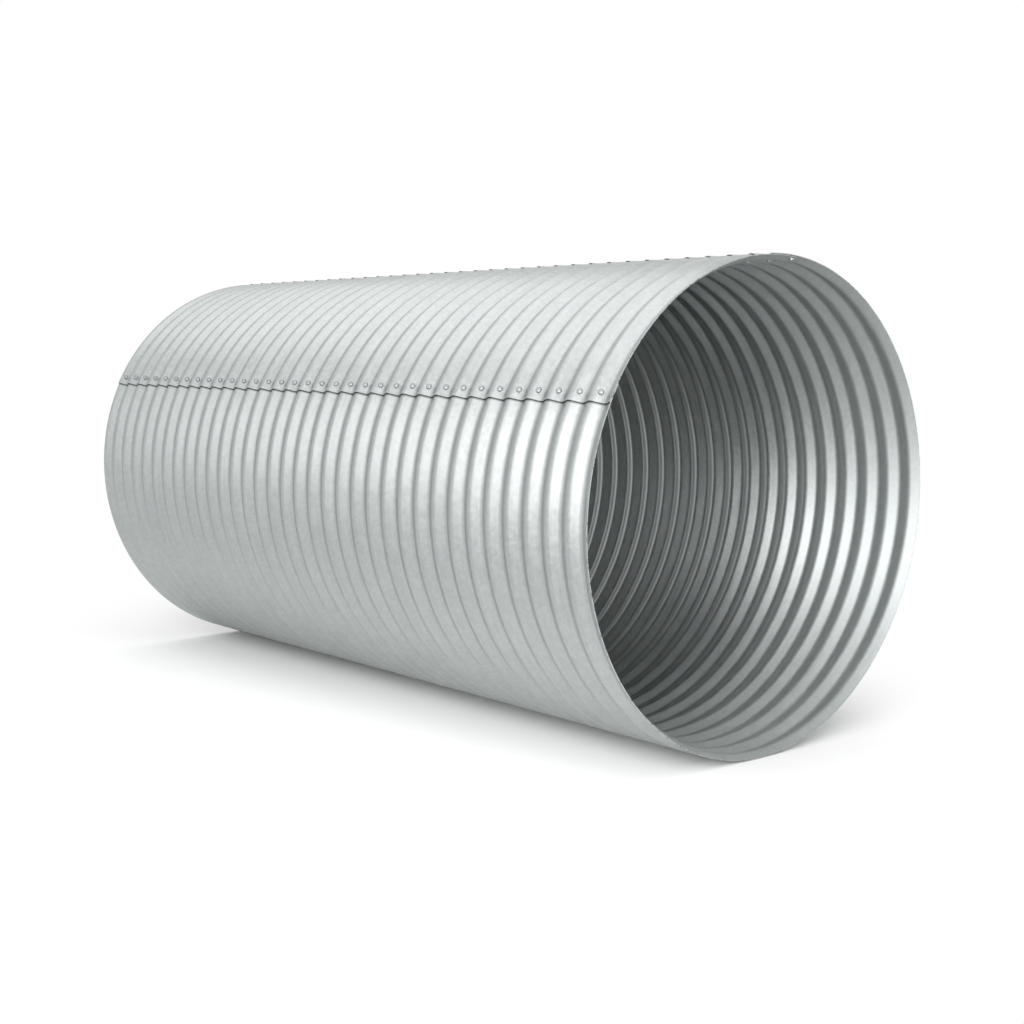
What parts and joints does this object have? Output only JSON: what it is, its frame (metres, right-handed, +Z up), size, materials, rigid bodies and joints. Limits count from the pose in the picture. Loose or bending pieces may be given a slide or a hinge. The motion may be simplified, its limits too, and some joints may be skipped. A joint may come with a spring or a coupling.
{
  "type": "corrugated pipe culvert",
  "caption": "Riveted length of corrugated galvanized steel culvert pipe: ring corrugations, a crown sheet lapped and riveted along both edges, open at both ends.",
  "frame": {"origin": "on the ground, below the middle of the pipe", "axes": "+X along the pipe, +Z up, the crown sheet on the -Y side of the top"},
  "size_m": [2.312, 1.2276, 1.228],
  "materials": {
    "galvanized_sheet": "satin",
    "rivet_steel": "satin"
  },
  "bodies": {
    "root": {"barrel_sheet": "galvanized_sheet", "crown_sheet": "galvanized_sheet", "side_rivets_01": "rivet_steel", "side_rivets_02": "rivet_steel", "side_rivets_03": "rivet_steel", "side_rivets_04": "rivet_steel", "side_rivets_05": "rivet_steel", "side_rivets_06": "rivet_steel", "side_rivets_07": "rivet_steel", "side_rivets_08": "rivet_steel", "side_rivets_09": "rivet_steel", "side_rivets_10": "rivet_steel", "side_rivets_11": "rivet_steel", "side_rivets_12": "rivet_steel", "side_rivets_13": "rivet_steel", "side_rivets_14": "rivet_steel", "side_rivets_15": "rivet_steel", "side_rivets_16": "rivet_steel", "side_rivets_17": "rivet_steel", "top_rivets_01": "rivet_steel", "top_rivets_02": "rivet_steel", "top_rivets_03": "rivet_steel", "top_rivets_04": "rivet_steel", "top_rivets_05": "rivet_steel", "top_rivets_06": "rivet_steel", "top_rivets_07": "rivet_steel", "top_rivets_08": "rivet_steel", "top_rivets_09": "rivet_steel", "top_rivets_10": "rivet_steel", "top_rivets_11": "rivet_steel", "top_rivets_12": "rivet_steel", "top_rivets_13": "rivet_steel", "top_rivets_14": "rivet_steel", "top_rivets_15": "rivet_steel", "top_rivets_16": "rivet_steel", "top_rivets_17": "rivet_steel"}
  },
  "joints": []
}
